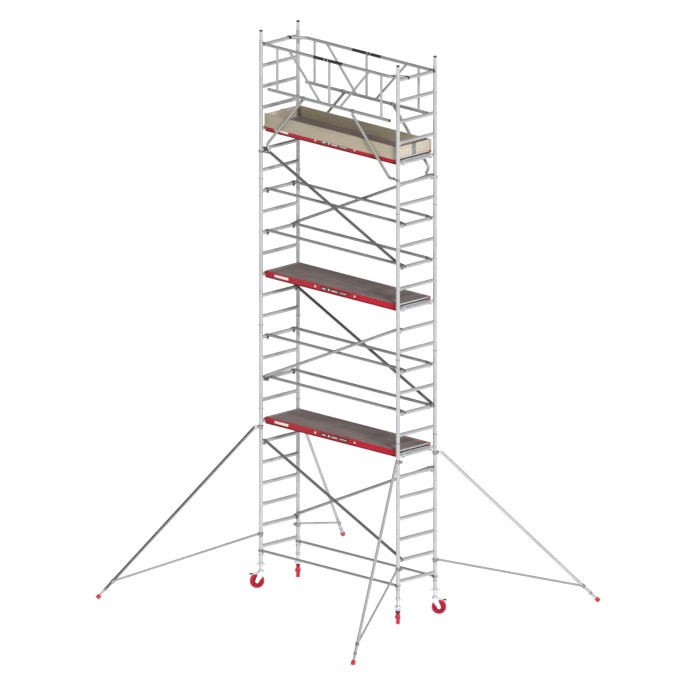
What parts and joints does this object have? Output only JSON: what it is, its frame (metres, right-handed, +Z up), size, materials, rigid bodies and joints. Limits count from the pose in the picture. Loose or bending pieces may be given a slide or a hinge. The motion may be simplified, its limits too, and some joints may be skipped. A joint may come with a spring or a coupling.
{
  "type": "mobile tower scaffold",
  "caption": "Tall mobile access tower: rung end frames, braces, hatch platforms, guardrails, toe boards, stabilizers and braked swivel casters.",
  "frame": {"origin": "on the ground under the middle of the tower", "axes": "+X along the bay, +Y across it to the back, +Z up"},
  "size_m": [4.7398, 4.5536, 7.475],
  "materials": {
    "frame_aluminium": "satin extruded tube",
    "spigot_aluminium": "satin",
    "clip_steel": "dark spring wire and catches",
    "brace_aluminium": "satin tube, slightly darker",
    "claw_metal": "dark grey cast claws",
    "black_plastic": "moulded black",
    "red_beam": "red coated beam",
    "beam_aluminium": "mill finish",
    "deck_plywood": "phenolic film plywood",
    "zinc_steel": "galvanised",
    "toe_board_wood": "clear coated board",
    "rail_aluminium": "satin tube",
    "wheel_polymer": "crimson wheel",
    "boot_rubber": "red rubber"
  },
  "bodies": {
    "root": {"left_frame_1": "frame_aluminium", "left_frame_2": "frame_aluminium", "left_frame_3": "frame_aluminium", "left_frame_4": "frame_aluminium", "right_frame_1": "frame_aluminium", "right_frame_2": "frame_aluminium", "right_frame_3": "frame_aluminium", "right_frame_4": "frame_aluminium", "frame_spigots": "spigot_aluminium", "locking_clips": "clip_steel", "horizontal_braces": "brace_aluminium", "diagonal_braces": "brace_aluminium", "brace_claws": "claw_metal", "claw_triggers": "black_plastic", "platform_side_beams": "red_beam", "platform_cross_beams": "beam_aluminium", "platform_decks": "deck_plywood", "platform_hooks": "beam_aluminium", "wind_locks": "clip_steel", "hatch_hinges": "zinc_steel", "toe_boards": "toe_board_wood", "toe_board_brackets": "zinc_steel", "guardrail_frames": "rail_aluminium", "guardrail_hooks": "black_plastic", "leg_nuts": "zinc_steel"},
    "leg_fl": {"leg_spindle_fl": "zinc_steel"},
    "caster_fl": {"caster_fork_fl": "zinc_steel"},
    "wheel_fl": {"caster_wheel_fl": "wheel_polymer"},
    "pedal_fl": {"brake_pedal_fl": "black_plastic"},
    "stabilizer_fl": {"stabilizer_tubes_fl": "rail_aluminium", "stabilizer_couplers_fl": "zinc_steel"},
    "foot_fl": {"stabilizer_foot_fl": "boot_rubber"},
    "rail_strut_fl": {"guardrail_strut_fl": "rail_aluminium"},
    "leg_fr": {"leg_spindle_fr": "zinc_steel"},
    "caster_fr": {"caster_fork_fr": "zinc_steel"},
    "wheel_fr": {"caster_wheel_fr": "wheel_polymer"},
    "pedal_fr": {"brake_pedal_fr": "black_plastic"},
    "stabilizer_fr": {"stabilizer_tubes_fr": "rail_aluminium", "stabilizer_couplers_fr": "zinc_steel"},
    "foot_fr": {"stabilizer_foot_fr": "boot_rubber"},
    "rail_strut_fr": {"guardrail_strut_fr": "rail_aluminium"},
    "leg_bl": {"leg_spindle_bl": "zinc_steel"},
    "caster_bl": {"caster_fork_bl": "zinc_steel"},
    "wheel_bl": {"caster_wheel_bl": "wheel_polymer"},
    "pedal_bl": {"brake_pedal_bl": "black_plastic"},
    "stabilizer_bl": {"stabilizer_tubes_bl": "rail_aluminium", "stabilizer_couplers_bl": "zinc_steel"},
    "foot_bl": {"stabilizer_foot_bl": "boot_rubber"},
    "rail_strut_bl": {"guardrail_strut_bl": "rail_aluminium"},
    "leg_br": {"leg_spindle_br": "zinc_steel"},
    "caster_br": {"caster_fork_br": "zinc_steel"},
    "wheel_br": {"caster_wheel_br": "wheel_polymer"},
    "pedal_br": {"brake_pedal_br": "black_plastic"},
    "stabilizer_br": {"stabilizer_tubes_br": "rail_aluminium", "stabilizer_couplers_br": "zinc_steel"},
    "foot_br": {"stabilizer_foot_br": "boot_rubber"},
    "rail_strut_br": {"guardrail_strut_br": "rail_aluminium"},
    "hatch_lid_1": {"hatch_1": "deck_plywood"},
    "hatch_lid_2": {"hatch_2": "deck_plywood"},
    "hatch_lid_3": {"hatch_3": "deck_plywood"}
  },
  "joints": [
    {"name": "leg_slide_fl", "type": "slide", "parent": "root", "child": "leg_fl", "axis": [0, 0, 1], "range_m": [-0.25, 0.06]},
    {"name": "caster_swivel_fl", "type": "hinge", "parent": "leg_fl", "child": "caster_fl", "pos_m": [-1.255, -0.34, 0.2], "axis": [0, 0, 1], "continuous": true},
    {"name": "wheel_spin_fl", "type": "hinge", "parent": "caster_fl", "child": "wheel_fl", "pos_m": [-1.29035, -0.37535, 0.095], "axis": [0.7071, -0.7071, 0], "continuous": true},
    {"name": "pedal_fl_tilt", "type": "hinge", "parent": "caster_fl", "child": "pedal_fl", "pos_m": [-1.28187, -0.36687, 0.197], "axis": [-0.7071, 0.7071, 0], "range_deg": [0, 20]},
    {"name": "stabilizer_swing_fl", "type": "hinge", "parent": "root", "child": "stabilizer_fl", "pos_m": [-1.255, -0.34, 2.16], "axis": [0, 0, 1], "range_deg": [-30, 30]},
    {"name": "foot_slide_fl", "type": "slide", "parent": "stabilizer_fl", "child": "foot_fl", "axis": [-0.3468, -0.6105, -0.712], "range_m": [-0.07, 0.4]},
    {"name": "rail_strut_swing_fl", "type": "hinge", "parent": "root", "child": "rail_strut_fl", "pos_m": [0, -0.307, 6.695], "axis": [-1, 0, 0], "range_deg": [0, 60]},
    {"name": "leg_slide_fr", "type": "slide", "parent": "root", "child": "leg_fr", "axis": [0, 0, 1], "range_m": [-0.25, 0.06]},
    {"name": "caster_swivel_fr", "type": "hinge", "parent": "leg_fr", "child": "caster_fr", "pos_m": [1.255, -0.34, 0.2], "axis": [0, 0, 1], "continuous": true},
    {"name": "wheel_spin_fr", "type": "hinge", "parent": "caster_fr", "child": "wheel_fr", "pos_m": [1.29035, -0.37535, 0.095], "axis": [0.7071, 0.7071, 0], "continuous": true},
    {"name": "pedal_fr_tilt", "type": "hinge", "parent": "caster_fr", "child": "pedal_fr", "pos_m": [1.28187, -0.36687, 0.197], "axis": [-0.7071, -0.7071, 0], "range_deg": [0, 20]},
    {"name": "stabilizer_swing_fr", "type": "hinge", "parent": "root", "child": "stabilizer_fr", "pos_m": [1.255, -0.34, 2.16], "axis": [0, 0, 1], "range_deg": [-30, 30]},
    {"name": "foot_slide_fr", "type": "slide", "parent": "stabilizer_fr", "child": "foot_fr", "axis": [0.3468, -0.6105, -0.712], "range_m": [-0.07, 0.4]},
    {"name": "rail_strut_swing_fr", "type": "hinge", "parent": "root", "child": "rail_strut_fr", "pos_m": [0, -0.307, 6.695], "axis": [-1, 0, 0], "range_deg": [0, 60]},
    {"name": "leg_slide_bl", "type": "slide", "parent": "root", "child": "leg_bl", "axis": [0, 0, 1], "range_m": [-0.25, 0.06]},
    {"name": "caster_swivel_bl", "type": "hinge", "parent": "leg_bl", "child": "caster_bl", "pos_m": [-1.255, 0.34, 0.2], "axis": [0, 0, 1], "continuous": true},
    {"name": "wheel_spin_bl", "type": "hinge", "parent": "caster_bl", "child": "wheel_bl", "pos_m": [-1.29035, 0.37535, 0.095], "axis": [-0.7071, -0.7071, 0], "continuous": true},
    {"name": "pedal_bl_tilt", "type": "hinge", "parent": "caster_bl", "child": "pedal_bl", "pos_m": [-1.28187, 0.36687, 0.197], "axis": [0.7071, 0.7071, 0], "range_deg": [0, 20]},
    {"name": "stabilizer_swing_bl", "type": "hinge", "parent": "root", "child": "stabilizer_bl", "pos_m": [-1.255, 0.34, 2.16], "axis": [0, 0, 1], "range_deg": [-30, 30]},
    {"name": "foot_slide_bl", "type": "slide", "parent": "stabilizer_bl", "child": "foot_bl", "axis": [-0.3468, 0.6105, -0.712], "range_m": [-0.07, 0.4]},
    {"name": "rail_strut_swing_bl", "type": "hinge", "parent": "root", "child": "rail_strut_bl", "pos_m": [0, 0.307, 6.695], "axis": [1, 0, 0], "range_deg": [0, 60]},
    {"name": "leg_slide_br", "type": "slide", "parent": "root", "child": "leg_br", "axis": [0, 0, 1], "range_m": [-0.25, 0.06]},
    {"name": "caster_swivel_br", "type": "hinge", "parent": "leg_br", "child": "caster_br", "pos_m": [1.255, 0.34, 0.2], "axis": [0, 0, 1], "continuous": true},
    {"name": "wheel_spin_br", "type": "hinge", "parent": "caster_br", "child": "wheel_br", "pos_m": [1.29035, 0.37535, 0.095], "axis": [-0.7071, 0.7071, 0], "continuous": true},
    {"name": "pedal_br_tilt", "type": "hinge", "parent": "caster_br", "child": "pedal_br", "pos_m": [1.28187, 0.36687, 0.197], "axis": [0.7071, -0.7071, 0], "range_deg": [0, 20]},
    {"name": "stabilizer_swing_br", "type": "hinge", "parent": "root", "child": "stabilizer_br", "pos_m": [1.255, 0.34, 2.16], "axis": [0, 0, 1], "range_deg": [-30, 30]},
    {"name": "foot_slide_br", "type": "slide", "parent": "stabilizer_br", "child": "foot_br", "axis": [0.3468, 0.6105, -0.712], "range_m": [-0.07, 0.4]},
    {"name": "rail_strut_swing_br", "type": "hinge", "parent": "root", "child": "rail_strut_br", "pos_m": [0, 0.307, 6.695], "axis": [1, 0, 0], "range_deg": [0, 60]},
    {"name": "hatch_lift_1", "type": "hinge", "parent": "root", "child": "hatch_lid_1", "pos_m": [0, -0.262, 2.2973], "axis": [1, 0, 0], "range_deg": [0, 80]},
    {"name": "hatch_lift_2", "type": "hinge", "parent": "root", "child": "hatch_lid_2", "pos_m": [0, -0.262, 4.2573], "axis": [1, 0, 0], "range_deg": [0, 80]},
    {"name": "hatch_lift_3", "type": "hinge", "parent": "root", "child": "hatch_lid_3", "pos_m": [0, -0.262, 6.2173], "axis": [1, 0, 0], "range_deg": [0, 80]}
  ]
}
